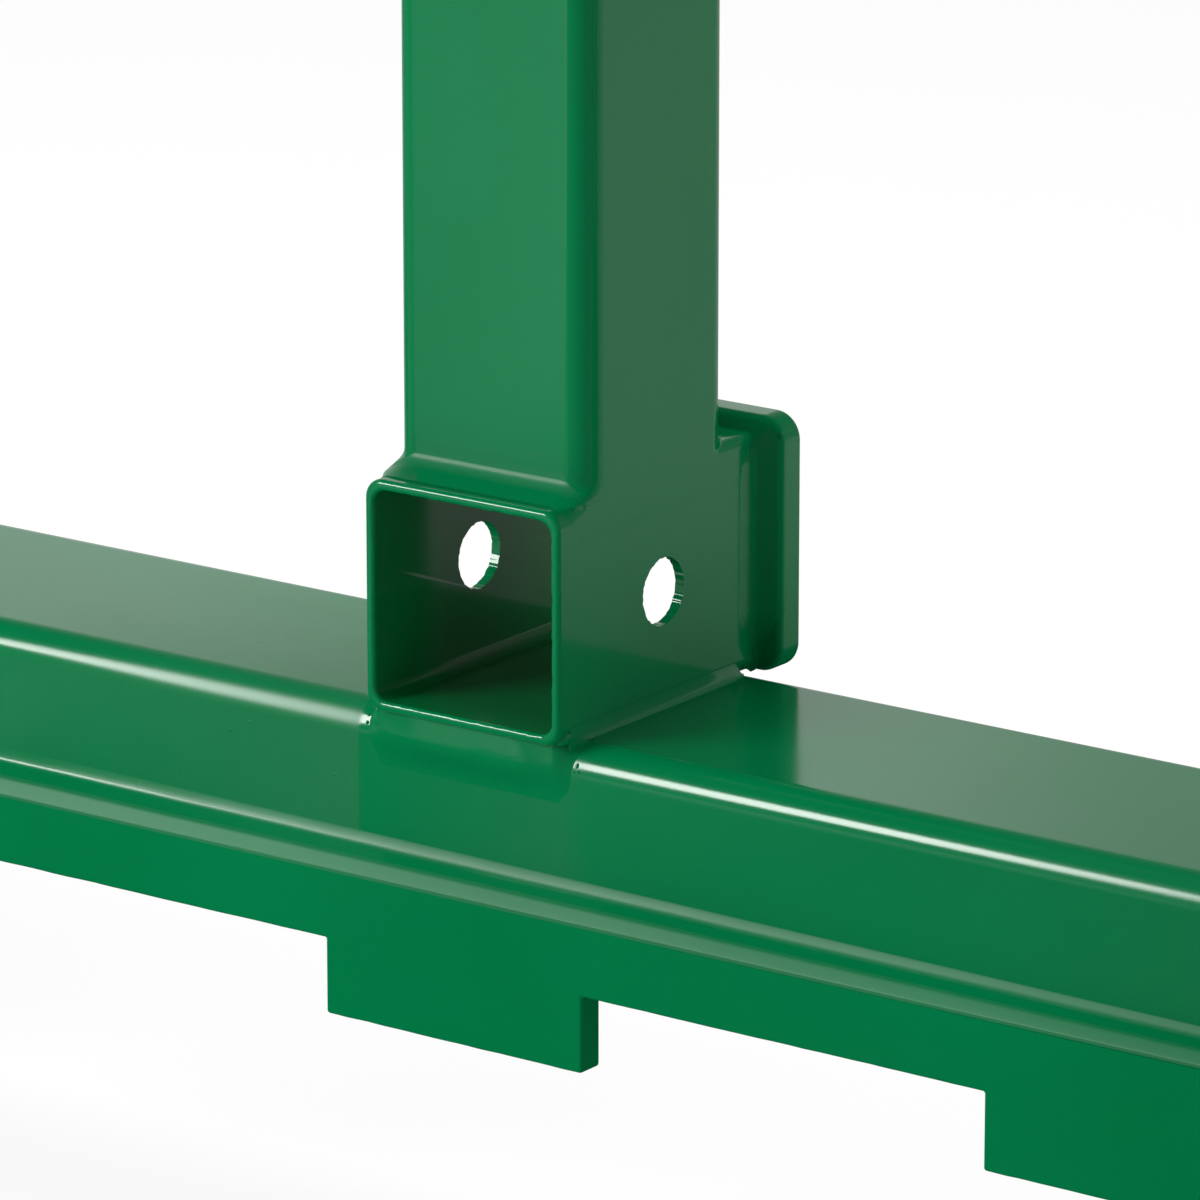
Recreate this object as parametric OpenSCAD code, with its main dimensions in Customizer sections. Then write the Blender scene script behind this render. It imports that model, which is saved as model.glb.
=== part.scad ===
// Pallet fork attachment for a tractor loader with hook-and-pin quick attach ears.
// Millimetres, +Z up, +X to the right of someone who faces the load side, forks towards -Y.
// The origin is on the ground, in the middle of the attachment's overall length and width.

/* [Rails] */
// Length of the top and lower rail, without the end caps
rail_length = 1160; // [1160:1:1320]
// Depth of the rail tube from front to back
rail_depth = 83; // [80:1:100]
// Height of the rail tube
rail_height = 60; // [56:1:80]
// Wall of the rail tube
rail_wall = 4; // [2:0.5:6]
// Outer corner radius of the rail tube
rail_corner = 8; // [7:0.5:10]
// Thickness of the plates that close the rail ends
cap_thickness = 4; // [2:0.5:8]
// How far an end cap stays inside the tube's outline
cap_inset = 1; // [0:0.5:2]

/* [Carriage bars] */
// Distance between the lower edge of the lower bar and the upper edge of the top bar
carriage_height = 407; // [390:1:520]
// Height of the lower bar's tabs above the ground
ground_clearance = 79; // [70:1:150]
// Thickness of the flat bars
bar_thickness = 8; // [6:0.5:14]
// Height of the flat bars
bar_height = 40; // [36:1:60]
// How much of a flat bar's height lies on its rail
bar_overlap = 19; // [12:1:24]
// Width of a tab of the lower bar
tab_width = 80; // [60:1:100]
// Width of a notch between two tabs
notch_width = 119; // [80:1:119]
// Depth of a notch
notch_depth = 20; // [14:1:21]
// Number of full tabs on each side of the middle tab
tabs_each_side = 2; // [1:1:2]
// Width of a lock notch in the top bar
lock_notch_width = 12; // [11:0.5:16]
// Depth of a lock notch in the top bar
lock_notch_depth = 9; // [8:0.5:12]

/* [Receiver] */
// Outer width and height of the hitch receiver tube
receiver_size = 60; // [56:1:70]
// Wall of the receiver tube
receiver_wall = 3; // [2:0.5:5]
// Outer corner radius of the receiver tube
receiver_corner = 5; // [4:0.5:8]
// Length of the receiver tube
receiver_length = 85; // [80:1:110]
// How far the receiver's mouth stands out in front of the rail
receiver_overhang = 3.5; // [2:0.5:6]
// Diameter of the hitch pin hole
pin_hole_d = 17.5; // [14:0.5:20]
// Distance of the pin hole from the receiver's mouth
pin_hole_from_mouth = 44; // [35:1:50]
// Height of the pin hole above the rail
pin_hole_height = 30.5; // [26:0.5:34]
// Thickness of the collar plate at the receiver's back end
collar_thickness = 9; // [6:0.5:12]
// How far the collar stands out past the receiver's sides and top
collar_border = 7; // [6:0.5:14]
// Corner radius of the collar
collar_corner = 7; // [4:0.5:10]

/* [Posts] */
// Width of the posts, and depth of the centre post
post_size = 60; // [50:1:60]
// Depth of the end posts, which stand level with the rails' back
end_post_depth = 30; // [20:1:30]
// Wall of the post tubes
post_wall = 4; // [2:0.5:6]
// Outer corner radius of the post tubes
post_corner = 7; // [5:0.5:10]
// How far the posts' front stands behind the receiver's mouth
post_setback = 12; // [12:0.5:14]

/* [Welds] */
// Leg of the fillet weld along a flat bar
bar_weld = 6; // [3:0.5:6]
// Leg of the fillet welds round the receiver
receiver_weld = 6; // [3:0.5:6]
// Leg of the fillet welds at the ends of the centre post
post_weld = 6; // [3:0.5:6]
// How far a weld's hollow face turns past its toes, which keeps the toes from a knife edge
weld_toe = 2; // [1:0.5:4]
// How far the weld under the receiver's lip reaches behind the rail's front face
lip_weld_depth = 5; // [3:0.5:6]
// How far the weld under the receiver's lip bulges in front of the rail
lip_weld_bulge = 1; // [0.5:0.5:1.5]

/* [Quick attach ears] */
// Distance from the middle of the attachment to the middle of a pair of ears
ear_centre = 500; // [480:1:505]
// Clear gap between the two ears of a pair
ear_gap = 40; // [30:1:50]
// Thickness of an ear plate
ear_thickness = 10; // [6:0.5:12]
// Depth of an ear between its two eyes
ear_waist = 30; // [20:1:36]
// Radius of the round end of an eye
eye_radius = 32; // [28:1:34]
// Distance of the eyes' centres behind the rails
eye_offset = 36; // [30:1:60]
// Radius of the fillet between an eye and the waist
eye_fillet = 24; // [10:1:40]
// Diameter of the round bar that hangs in the loader's hooks
hook_bar_d = 30; // [20:1:34]
// Diameter of the hole for the loader's lock pin
lock_hole_d = 26; // [20:0.5:32]

/* [Forks] */
// Distance of a fork from the middle, in steps from tab to tab
fork_step = 2; // [2:1:2]
// Width of a fork
fork_width = 100; // [80:1:120]
// Thickness of a fork's shank and blade
fork_thickness = 35; // [30:1:45]
// Length of the blade in front of the shank
blade_length = 1070; // [900:10:1220]
// Length of the tapered front part of the blade
taper_length = 580; // [400:10:640]
// Thickness of the blade at its tip
tip_thickness = 12; // [8:1:16]
// Width of the blade at its tip
tip_width = 56; // [50:1:60]
// Length over which the blade narrows to its tip
tip_length = 130; // [80:5:180]
// Outer radius of the fork's heel
heel_radius = 40; // [20:1:48]
// Inner radius of the fork's heel
heel_fillet = 14; // [6:1:20]
// Thickness of the fork hooks above, below and behind the bars
hook_thickness = 18; // [14:1:22]
// Clearance of a hook behind its bar
hook_clearance = 1; // [0.5:0.5:2]
// How far a hook reaches behind its bar
hook_reach = 17; // [12:1:18]
// Gap between the lower bar's tab and the fork's bottom hook
claw_gap = 3; // [2:0.5:3]
// Diameter of the drop pin that locks a fork
lock_pin_d = 10; // [8:0.5:10]
// Clearance round the drop pin in its hook
lock_pin_clearance = 0.3; // [0.2:0.1:0.5]
// Steel left between the drop pin's hole and the fork
lock_pin_wall = 1.5; // [1:0.5:2]
// How deep the drop pin reaches into its notch
lock_pin_depth = 7; // [5:0.5:7.5]
// Diameter of the drop pin's collar
lock_collar_d = 22; // [18:1:26]
// Thickness of the drop pin's collar
lock_collar_h = 4; // [3:0.5:6]
// Diameter of the drop pin's knob
lock_knob_d = 18; // [14:1:24]
// Height of the knob's centre above the collar
lock_knob_rise = 14; // [12:0.5:20]
// Diameter of the neck between the collar and the knob
lock_neck_d = 7; // [5:0.5:8]

/* [Hidden] */
$fn = 64;

// Overlap of a cutting shape past the face that it cuts
cut = 1;
// Smallest inner corner radius of a tube
least_inner_radius = 0.5;
paint = "#15793f";
black_paint = "#26282a";
zinc = "#b9bcbe";

// Heights, all above the ground
lower_bar_top = ground_clearance + bar_height;
lower_rail_bottom = lower_bar_top - bar_overlap;
lower_rail_top = lower_rail_bottom + rail_height;
top_bar_top = ground_clearance + carriage_height;
top_bar_bottom = top_bar_top - bar_height;
top_rail_top = top_bar_bottom + bar_overlap;
top_rail_bottom = top_rail_top - rail_height;
receiver_top = lower_rail_top + receiver_size;

// Depths, all behind the front face of the flat bars
rail_front = bar_thickness;
rail_back = rail_front + rail_depth;
mouth = rail_front - receiver_overhang;
receiver_back = mouth + receiver_length;
post_front = mouth + post_setback;
post_middle = post_front + post_size / 2;
eye_depth = rail_back + eye_offset;
ear_back = eye_depth + eye_radius;
fork_reach = fork_thickness + blade_length;
// The bars' front face lies here, so that the overall length is centred on the origin
face_y = (fork_reach - ear_back) / 2;

tab_pitch = tab_width + notch_width;
fork_x = fork_step * tab_pitch;
inner_ear_x = ear_centre - ear_gap / 2 - ear_thickness;
outer_ear_x = ear_centre + ear_gap / 2;
hook_depth = bar_thickness + hook_clearance + hook_thickness;
hook_top = top_bar_top + hook_thickness;
claw_top = ground_clearance - claw_gap;
lock_pin_hole_d = lock_pin_d + 2 * lock_pin_clearance;
lock_pin_y = lock_pin_wall + lock_pin_hole_d / 2;

// Puts a piece that is drawn from the bars' front face into the part's frame
module placed() {
    translate([0, face_y, 0]) children();
}

// A rectangle with round corners, centred on the origin
module rounded_rect(w, h, r) {
    square([w - 2 * r, h], center = true);
    square([w, h - 2 * r], center = true);
    for (x = [-1, 1], y = [-1, 1])
        translate([x * (w / 2 - r), y * (h / 2 - r)]) circle(r);
}

function inner_radius(r, wall) = max(r - wall, least_inner_radius);

module tube_section(w, h, r, wall) {
    difference() {
        rounded_rect(w, h, r);
        rounded_rect(w - 2 * wall, h - 2 * wall, inner_radius(r, wall));
    }
}

// The hollow section of a fillet weld, in the corner of two walls along +X and +Y
module weld_section(leg) {
    centre = leg + weld_toe;
    difference() {
        square(leg);
        translate([centre, centre]) circle(sqrt(centre * centre + weld_toe * weld_toe));
    }
}

// The flat section of a fillet weld that also turns round a corner
module flat_weld_section(leg) {
    polygon([[0, 0], [leg, 0], [0, leg]]);
}

// A section drawn in depth and height, pulled along X about the middle
module along_x(length) {
    rotate([90, 0, 90]) linear_extrude(length, center = true) children();
}

// A section drawn in width and height, pulled back from y = 0
module along_y(length) {
    translate([0, length, 0]) rotate([90, 0, 0]) linear_extrude(length) children();
}

module rail(bottom) {
    translate([0, rail_front + rail_depth / 2, bottom + rail_height / 2])
        along_x(rail_length) tube_section(rail_depth, rail_height, rail_corner, rail_wall);
}

module end_cap(side, bottom) {
    translate([
        side * (rail_length + cap_thickness) / 2,
        rail_front + rail_depth / 2,
        bottom + rail_height / 2
    ])
        along_x(cap_thickness)
            rounded_rect(rail_depth - 2 * cap_inset, rail_height - 2 * cap_inset, rail_corner - cap_inset);
}

module lower_rail() {
    color(paint) placed() rail(lower_rail_bottom);
}

module top_rail() {
    color(paint) placed() rail(top_rail_bottom);
}

module lower_left_end_cap() {
    color(paint) placed() end_cap(-1, lower_rail_bottom);
}

module lower_right_end_cap() {
    color(paint) placed() end_cap(1, lower_rail_bottom);
}

module top_left_end_cap() {
    color(paint) placed() end_cap(-1, top_rail_bottom);
}

module top_right_end_cap() {
    color(paint) placed() end_cap(1, top_rail_bottom);
}

// Flat bar whose lower edge is notched, so that the forks' bottom hooks can pass and then lock behind a tab
module lower_notched_bar() {
    color(paint) placed()
        translate([0, bar_thickness, 0]) rotate([90, 0, 0]) linear_extrude(bar_thickness)
            difference() {
                translate([-rail_length / 2, ground_clearance]) square([rail_length, bar_height]);
                for (side = [-1, 1], step = [0:tabs_each_side])
                    translate([
                        side * (tab_width / 2 + notch_width / 2 + step * tab_pitch) - notch_width / 2,
                        ground_clearance - cut
                    ])
                        square([notch_width, notch_depth + cut]);
            }
}

// Flat bar with small lock notches in its upper edge, two for each step of the lower bar
module top_notched_bar() {
    notches = floor((rail_length / 2 - lock_notch_width) / (tab_pitch / 2));
    color(paint) placed()
        translate([0, bar_thickness, 0]) rotate([90, 0, 0]) linear_extrude(bar_thickness)
            difference() {
                translate([-rail_length / 2, top_bar_bottom]) square([rail_length, bar_height]);
                for (step = [-notches:notches])
                    translate([step * tab_pitch / 2, top_bar_top - lock_notch_depth]) {
                        translate([-lock_notch_width / 2, lock_notch_width / 2])
                            square([lock_notch_width, lock_notch_depth]);
                        translate([0, lock_notch_width / 2]) circle(d = lock_notch_width);
                    }
            }
}

// The long weld in the corner of the lower rail and the upper edge of its bar
module lower_bar_weld() {
    color(paint) placed()
        translate([0, rail_front, lower_bar_top])
            along_x(rail_length) mirror([1, 0]) weld_section(bar_weld);
}

// The long weld in the corner of the top rail and the lower edge of its bar
module top_bar_weld() {
    color(paint) placed()
        translate([0, rail_front, top_bar_bottom])
            along_x(rail_length) mirror([0, 1]) mirror([1, 0]) weld_section(bar_weld);
}

// Square tube that takes a hitch bar, with a pin hole through both side walls
module receiver_tube() {
    color(paint) placed()
        difference() {
            translate([0, mouth, lower_rail_top + receiver_size / 2])
                along_y(receiver_length)
                    tube_section(receiver_size, receiver_size, receiver_corner, receiver_wall);
            translate([0, mouth + pin_hole_from_mouth, lower_rail_top + pin_hole_height])
                rotate([0, 90, 0]) cylinder(d = pin_hole_d, h = receiver_size + 2 * cut, center = true);
        }
}

// Plate on the receiver's back end, open where the tube is open
module receiver_collar() {
    width = receiver_size + 2 * collar_border;
    height = receiver_size + collar_border;
    socket = receiver_size - 2 * receiver_wall;
    color(paint) placed()
        translate([0, receiver_back, lower_rail_top])
            along_y(collar_thickness)
                difference() {
                    translate([0, height / 2]) rounded_rect(width, height, collar_corner);
                    translate([0, receiver_size / 2])
                        rounded_rect(socket, socket, inner_radius(receiver_corner, receiver_wall));
                }
}

// Closes the wedge between the receiver's front lip and the rounded edge of the rail
module receiver_front_weld() {
    arc_y = rail_front + rail_corner;
    arc_z = lower_rail_top - rail_corner;
    color(paint) placed()
        along_x(receiver_size)
            difference() {
                polygon([
                    [mouth + lip_weld_bulge, lower_rail_top],
                    [rail_front + lip_weld_depth, lower_rail_top],
                    [rail_front + lip_weld_depth, arc_z],
                    [rail_front, arc_z],
                    [rail_front - lip_weld_bulge, arc_z + 2 * lip_weld_bulge]
                ]);
                translate([arc_y, arc_z]) circle(rail_corner);
            }
}

// The welds along both sides of the receiver's foot, where the rail's top is flat
module receiver_side_welds() {
    flat_length = rail_depth - 2 * rail_corner;
    color(paint) placed()
        for (side = [0, 1])
            mirror([side, 0, 0])
                translate([0, rail_front + rail_corner, lower_rail_top])
                    along_y(flat_length)
                        difference() {
                            translate([receiver_size / 2, 0]) side_weld_section();
                            translate([receiver_size / 2 - receiver_corner, receiver_corner])
                                circle(receiver_corner);
                        }
}

// A side weld reaches under the receiver's rounded corner
module side_weld_section() {
    weld_section(receiver_weld);
    translate([-receiver_corner / 2, 0]) square([receiver_corner / 2, receiver_corner]);
}

// The weld between the receiver's back end and its collar, over both sides and the top
module receiver_collar_weld() {
    half = receiver_size / 2;
    straight = receiver_size - 2 * receiver_corner;
    color(paint) placed()
        translate([0, receiver_back, lower_rail_top + half]) rotate([90, 0, 0]) {
            for (side = [0, 1])
                mirror([side, 0, 0]) {
                    translate([half, 0, 0]) rotate([90, 0, 0]) linear_extrude(straight, center = true)
                        flat_weld_section(receiver_weld);
                    translate([half - receiver_corner, half - receiver_corner, 0])
                        rotate_extrude(angle = 90)
                            translate([receiver_corner, 0]) flat_weld_section(receiver_weld);
                }
            translate([0, half, 0]) rotate([90, 0, 90]) linear_extrude(straight, center = true)
                flat_weld_section(receiver_weld);
        }
}

module centre_post() {
    color(paint) placed()
        translate([0, post_middle, receiver_top])
            linear_extrude(top_rail_bottom - receiver_top)
                tube_section(post_size, post_size, post_corner, post_wall);
}

// The end posts leave a free way for the hitch pin, which comes in along the rail
module end_post(side) {
    translate([side * (rail_length - post_size) / 2, rail_back - end_post_depth / 2, lower_rail_top])
        linear_extrude(top_rail_bottom - lower_rail_top)
            tube_section(post_size, end_post_depth, post_corner, post_wall);
}

module left_end_post() {
    color(paint) placed() end_post(-1);
}

module right_end_post() {
    color(paint) placed() end_post(1);
}

// A weld across each of two opposite faces of a post, from corner to corner
module post_weld_pair() {
    straight = post_size - 2 * post_corner;
    for (back = [0, 1])
        rotate([0, 0, back * 180])
            translate([0, -post_size / 2, 0])
                along_x(straight) mirror([1, 0]) weld_section(post_weld);
}

module post_foot_weld() {
    color(paint) placed() translate([0, post_middle, receiver_top]) post_weld_pair();
}

module post_head_weld() {
    color(paint) placed()
        translate([0, post_middle, top_rail_bottom]) mirror([0, 0, 1]) rotate([0, 0, 90]) post_weld_pair();
}

// One eye of an ear: its round end and the web that joins it to the rail's back
module eye_outline() {
    circle(eye_radius);
    translate([-eye_offset, -eye_radius]) square([eye_offset, 2 * eye_radius]);
}

// Round inner corner between an eye's web and the waist, drawn for the corner at the origin
module inner_corner() {
    difference() {
        square(eye_fillet);
        translate([eye_fillet, eye_fillet]) circle(eye_fillet);
    }
}

// Side outline of an ear in depth and height
module ear_outline() {
    lower_eye = lower_rail_bottom + rail_height / 2;
    upper_eye = top_rail_bottom + rail_height / 2;
    translate([eye_depth, lower_eye]) eye_outline();
    translate([eye_depth, upper_eye]) eye_outline();
    translate([rail_back, lower_eye]) square([ear_waist, upper_eye - lower_eye]);
    intersection() {
        union() {
            translate([rail_back + ear_waist, lower_eye + eye_radius]) inner_corner();
            translate([rail_back + ear_waist, upper_eye - eye_radius]) mirror([0, 1]) inner_corner();
        }
        translate([rail_back, lower_eye]) square([eye_offset, upper_eye - lower_eye]);
    }
}

module ear(x) {
    translate([x, 0, 0]) rotate([90, 0, 90]) linear_extrude(ear_thickness)
        difference() {
            ear_outline();
            translate([eye_depth, lower_rail_bottom + rail_height / 2]) circle(d = lock_hole_d);
        }
}

module left_inner_ear() {
    color(paint) placed() ear(-inner_ear_x - ear_thickness);
}

module left_outer_ear() {
    color(paint) placed() ear(-outer_ear_x - ear_thickness);
}

module right_inner_ear() {
    color(paint) placed() ear(inner_ear_x);
}

module right_outer_ear() {
    color(paint) placed() ear(outer_ear_x);
}

// Round bar between a pair of ears, which hangs in the loader's hook
module hook_bar(side) {
    translate([side * ear_centre, eye_depth, top_rail_bottom + rail_height / 2])
        rotate([0, 90, 0]) cylinder(d = hook_bar_d, h = ear_gap, center = true);
}

module left_hook_bar() {
    color(paint) placed() hook_bar(-1);
}

module right_hook_bar() {
    color(paint) placed() hook_bar(1);
}

// Side outline of a fork: a level upper face, a heel, and an underside that rises to the tip
module fork_outline() {
    difference() {
        union() {
            translate([-fork_thickness, 0]) square([fork_thickness, hook_top]);
            polygon([
                [0, 0],
                [0, fork_thickness],
                [-fork_reach, fork_thickness],
                [-fork_reach, fork_thickness - tip_thickness],
                [-fork_reach + taper_length, 0]
            ]);
            difference() {
                translate([-fork_thickness - heel_fillet, fork_thickness]) square(heel_fillet);
                translate([-fork_thickness - heel_fillet, fork_thickness + heel_fillet]) circle(heel_fillet);
            }
        }
        difference() {
            translate([-heel_radius, -cut]) square([heel_radius + cut, heel_radius + cut]);
            translate([-heel_radius, heel_radius]) circle(heel_radius);
            translate([-heel_radius - cut, heel_radius]) square([heel_radius + cut, cut]);
        }
    }
}

// Plan outline of a fork, which narrows to a rounded tip
module fork_plan() {
    tip_radius = tip_width / 2;
    narrow = -fork_reach + tip_radius;
    translate([-fork_width / 2, -fork_reach + tip_length]) square([fork_width, fork_reach - tip_length]);
    polygon([
        [-tip_radius, narrow],
        [tip_radius, narrow],
        [fork_width / 2, -fork_reach + tip_length],
        [-fork_width / 2, -fork_reach + tip_length]
    ]);
    translate([0, narrow]) circle(tip_radius);
}

module fork(side) {
    translate([side * fork_x, 0, 0])
        intersection() {
            along_x(fork_width) fork_outline();
            translate([0, 0, -cut]) linear_extrude(hook_top + 2 * cut) fork_plan();
        }
}

module left_fork() {
    color(black_paint) placed() fork(-1);
}

module right_fork() {
    color(black_paint) placed() fork(1);
}

// Hook that hangs over the top bar, with the drop pin's hole through it
module top_hook(side) {
    translate([side * fork_x, 0, 0])
        difference() {
            along_x(fork_width) {
                translate([0, top_bar_top]) square([hook_depth - hook_thickness / 2, hook_thickness]);
                translate([hook_depth - hook_thickness / 2, top_bar_top + hook_thickness / 2])
                    circle(hook_thickness / 2);
                translate([hook_depth - hook_thickness, top_bar_top - hook_reach])
                    square([hook_thickness, hook_reach + hook_thickness / 2]);
            }
            translate([0, lock_pin_y, top_bar_top - hook_reach - cut])
                cylinder(d = lock_pin_hole_d, h = hook_reach + hook_thickness + 2 * cut);
        }
}

module left_top_hook() {
    color(black_paint) placed() top_hook(-1);
}

module right_top_hook() {
    color(black_paint) placed() top_hook(1);
}

// Claw that reaches under a tab of the lower bar and up behind it
module bottom_hook(side) {
    translate([side * fork_x, 0, 0])
        along_x(fork_width) {
            translate([0, claw_top - hook_thickness]) square([hook_depth - hook_thickness / 2, hook_thickness]);
            translate([hook_depth - hook_thickness / 2, claw_top - hook_thickness / 2])
                circle(hook_thickness / 2);
            translate([hook_depth - hook_thickness, claw_top - hook_thickness / 2])
                square([hook_thickness, hook_reach + claw_gap + hook_thickness / 2]);
        }
}

module left_bottom_hook() {
    color(black_paint) placed() bottom_hook(-1);
}

module right_bottom_hook() {
    color(black_paint) placed() bottom_hook(1);
}

// Drop pin: a shaft, a collar that rests on the hook, a neck and a round knob
module lock_pin(side) {
    shaft_length = lock_pin_depth + hook_thickness;
    translate([side * fork_x, lock_pin_y, top_bar_top - lock_pin_depth]) {
        cylinder(d = lock_pin_d, h = shaft_length);
        translate([0, 0, shaft_length]) {
            cylinder(d = lock_collar_d, h = lock_collar_h);
            cylinder(d = lock_neck_d, h = lock_collar_h + lock_knob_rise);
            translate([0, 0, lock_collar_h + lock_knob_rise]) sphere(d = lock_knob_d);
        }
    }
}

module left_lock_pin() {
    color(zinc) placed() lock_pin(-1);
}

module right_lock_pin() {
    color(zinc) placed() lock_pin(1);
}

lower_rail();
lower_notched_bar();
lower_bar_weld();
lower_left_end_cap();
lower_right_end_cap();
receiver_tube();
receiver_collar();
receiver_front_weld();
receiver_side_welds();
receiver_collar_weld();
centre_post();
post_foot_weld();
post_head_weld();
left_end_post();
right_end_post();
top_rail();
top_notched_bar();
top_bar_weld();
top_left_end_cap();
top_right_end_cap();
left_inner_ear();
left_outer_ear();
right_inner_ear();
right_outer_ear();
left_hook_bar();
right_hook_bar();
left_fork();
right_fork();
left_top_hook();
right_top_hook();
left_bottom_hook();
right_bottom_hook();
left_lock_pin();
right_lock_pin();
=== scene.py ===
import math

import bmesh
import bpy
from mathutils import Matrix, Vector, noise


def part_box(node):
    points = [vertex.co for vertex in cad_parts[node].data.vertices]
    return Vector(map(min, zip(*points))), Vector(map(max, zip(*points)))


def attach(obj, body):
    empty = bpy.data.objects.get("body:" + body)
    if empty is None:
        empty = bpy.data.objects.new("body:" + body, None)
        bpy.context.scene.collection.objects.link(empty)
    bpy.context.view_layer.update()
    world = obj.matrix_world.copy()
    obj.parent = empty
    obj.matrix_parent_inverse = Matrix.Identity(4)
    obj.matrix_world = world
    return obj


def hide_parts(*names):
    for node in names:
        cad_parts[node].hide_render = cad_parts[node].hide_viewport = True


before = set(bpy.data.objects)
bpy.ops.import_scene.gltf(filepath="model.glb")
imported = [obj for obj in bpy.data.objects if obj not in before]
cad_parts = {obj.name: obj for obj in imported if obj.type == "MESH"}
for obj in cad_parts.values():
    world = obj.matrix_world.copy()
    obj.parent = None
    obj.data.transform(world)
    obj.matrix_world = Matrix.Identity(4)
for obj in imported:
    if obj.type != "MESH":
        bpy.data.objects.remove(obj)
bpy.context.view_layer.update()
print("frame loaded:", len(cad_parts), "nodes")

xAxis, yAxis, zAxis = 0, 1, 2
sameSpot = 0.0001  # places closer than this count as one, in metres
shading = {"sharpAngle": 35, "beadAngle": 60, "faceWeight": 60}


# helpers for work in edit mode
def deselectAll():
    if bpy.context.mode != "OBJECT":
        bpy.ops.object.mode_set(mode="OBJECT")
    bpy.ops.object.select_all(action="DESELECT")


def makeActive(piece):
    deselectAll()
    piece.select_set(True)
    bpy.context.view_layer.objects.active = piece


def addBlock(name, low, high):
    deselectAll()
    low, high = Vector(low), Vector(high)
    bpy.ops.mesh.primitive_cube_add(size=1, location=(low + high) / 2, scale=high - low)
    block = bpy.context.object
    block.name = name
    bpy.ops.object.transform_apply()
    return block


def startEdit(piece, mode="EDGE"):
    makeActive(piece)
    bpy.ops.object.mode_set(mode="EDIT")
    bpy.ops.mesh.select_mode(type=mode)
    bpy.ops.mesh.select_all(action="DESELECT")


def endEdit():
    bpy.ops.object.mode_set(mode="OBJECT")


def pickEdges(piece, test):
    mesh = bmesh.from_edit_mesh(piece.data)
    for edge in mesh.edges:
        a, b = edge.verts[0].co, edge.verts[1].co
        edge.select_set(bool(test((a + b) / 2, (b - a).normalized())))
    mesh.select_flush_mode()
    bmesh.update_edit_mesh(piece.data)


def pickFaces(piece, test):
    mesh = bmesh.from_edit_mesh(piece.data)
    for face in mesh.faces:
        face.select_set(bool(test(face.calc_center_median(), face.normal)))
    mesh.select_flush_mode()
    bmesh.update_edit_mesh(piece.data)


def deleteFaces(piece, test):
    startEdit(piece, "FACE")
    pickFaces(piece, test)
    bpy.ops.mesh.delete(type="FACE")
    endEdit()


def along(axis):
    return lambda place, way: abs(way[axis]) > 0.9


def roundEdges(piece, test, offset, segments):
    pickEdges(piece, test)
    bpy.ops.mesh.bevel(offset=offset, segments=segments, profile=0.5)


# A block with its four edges along one axis rounded
def addRoundBlock(name, low, high, axis, corner, segments):
    block = addBlock(name, low, high)
    startEdit(block)
    roundEdges(block, along(axis), corner, segments)
    endEdit()
    return block


def cutAcross(places):
    for x in places:
        bpy.ops.mesh.select_all(action="SELECT")
        bpy.ops.mesh.bisect(plane_co=(x, 0, 0), plane_no=(1, 0, 0))


def flipAll(piece):
    startEdit(piece, "FACE")
    bpy.ops.mesh.select_all(action="SELECT")
    bpy.ops.mesh.flip_normals()
    endEdit()


def useModifier(piece, kind, **settings):
    makeActive(piece)
    modifier = piece.modifiers.new(kind.lower(), kind)
    for key, value in settings.items():
        setattr(modifier, key, value)
    bpy.ops.object.modifier_apply(modifier=modifier.name)


def bevelSharp(piece, width, segments, degrees):
    limit = math.radians(degrees)
    useModifier(piece, "BEVEL", width=width, segments=segments, limit_method="ANGLE", angle_limit=limit)


def cutAway(piece, cutter):
    useModifier(piece, "BOOLEAN", object=cutter, operation="DIFFERENCE", solver="EXACT")
    bpy.data.objects.remove(cutter)


def joinPieces(pieces, name):
    makeActive(pieces[0])
    for piece in pieces[1:]:
        piece.select_set(True)
    bpy.ops.object.join()
    pieces[0].name = name
    return pieces[0]


def shadeSmooth(piece, degrees):
    makeActive(piece)
    bpy.ops.object.shade_smooth_by_angle(angle=math.radians(degrees))


def shadePiece(piece):
    shadeSmooth(piece, shading["sharpAngle"])
    useModifier(piece, "WEIGHTED_NORMAL", keep_sharp=True, weight=shading["faceWeight"])


def finishPiece(piece, nodes, material):
    piece.data.materials.clear()
    piece.data.materials.append(material)
    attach(piece, "root")
    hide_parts(*nodes)


# helpers for shapes
def wobble(place, size, amount):
    return amount * noise.noise(Vector(place) / size)


def easeStep(value, low, high):
    share = max(0.0, min(1.0, (value - low) / (high - low)))
    return share * share * (3 - 2 * share)


# How far a round corner has drawn in, at a distance past the end of its flat
def roundInset(past, corner):
    return corner - math.sqrt(max(0.0, corner**2 - min(past, corner) ** 2))


# A bead is a grid laid on the metal: every point is put at place(u, v), then the sheet gets a thin wall
def makeBead(name, grid, place, outward, rough=0.0, roughSize=0.006, wall=0.0008):
    columns, rows = grid
    deselectAll()
    bpy.ops.mesh.primitive_grid_add(x_subdivisions=columns, y_subdivisions=rows, size=1)
    bead = bpy.context.object
    bead.name = name
    inner = []  # 1 in the middle of the bead, 0 at its long edges
    for vertex in bead.data.vertices:
        u, v = vertex.co.x + 0.5, vertex.co.y + 0.5
        inner.append(16 * v * v * (1 - v) * (1 - v))
        vertex.co = Vector(place(u, v))
    bead.data.update()
    middle = bead.data.polygons[rows // 2 * columns + columns // 2]
    if middle.normal.dot(Vector(outward)) < 0:
        flipAll(bead)
    if rough:
        shifts = [vertex.normal * wobble(vertex.co, roughSize, rough) for vertex in bead.data.vertices]
        for vertex, shift, share in zip(bead.data.vertices, shifts, inner):
            vertex.co += shift * share
    useModifier(bead, "SOLIDIFY", thickness=wall, offset=-1.0)
    shadeSmooth(bead, shading["beadAngle"])
    return bead


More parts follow.
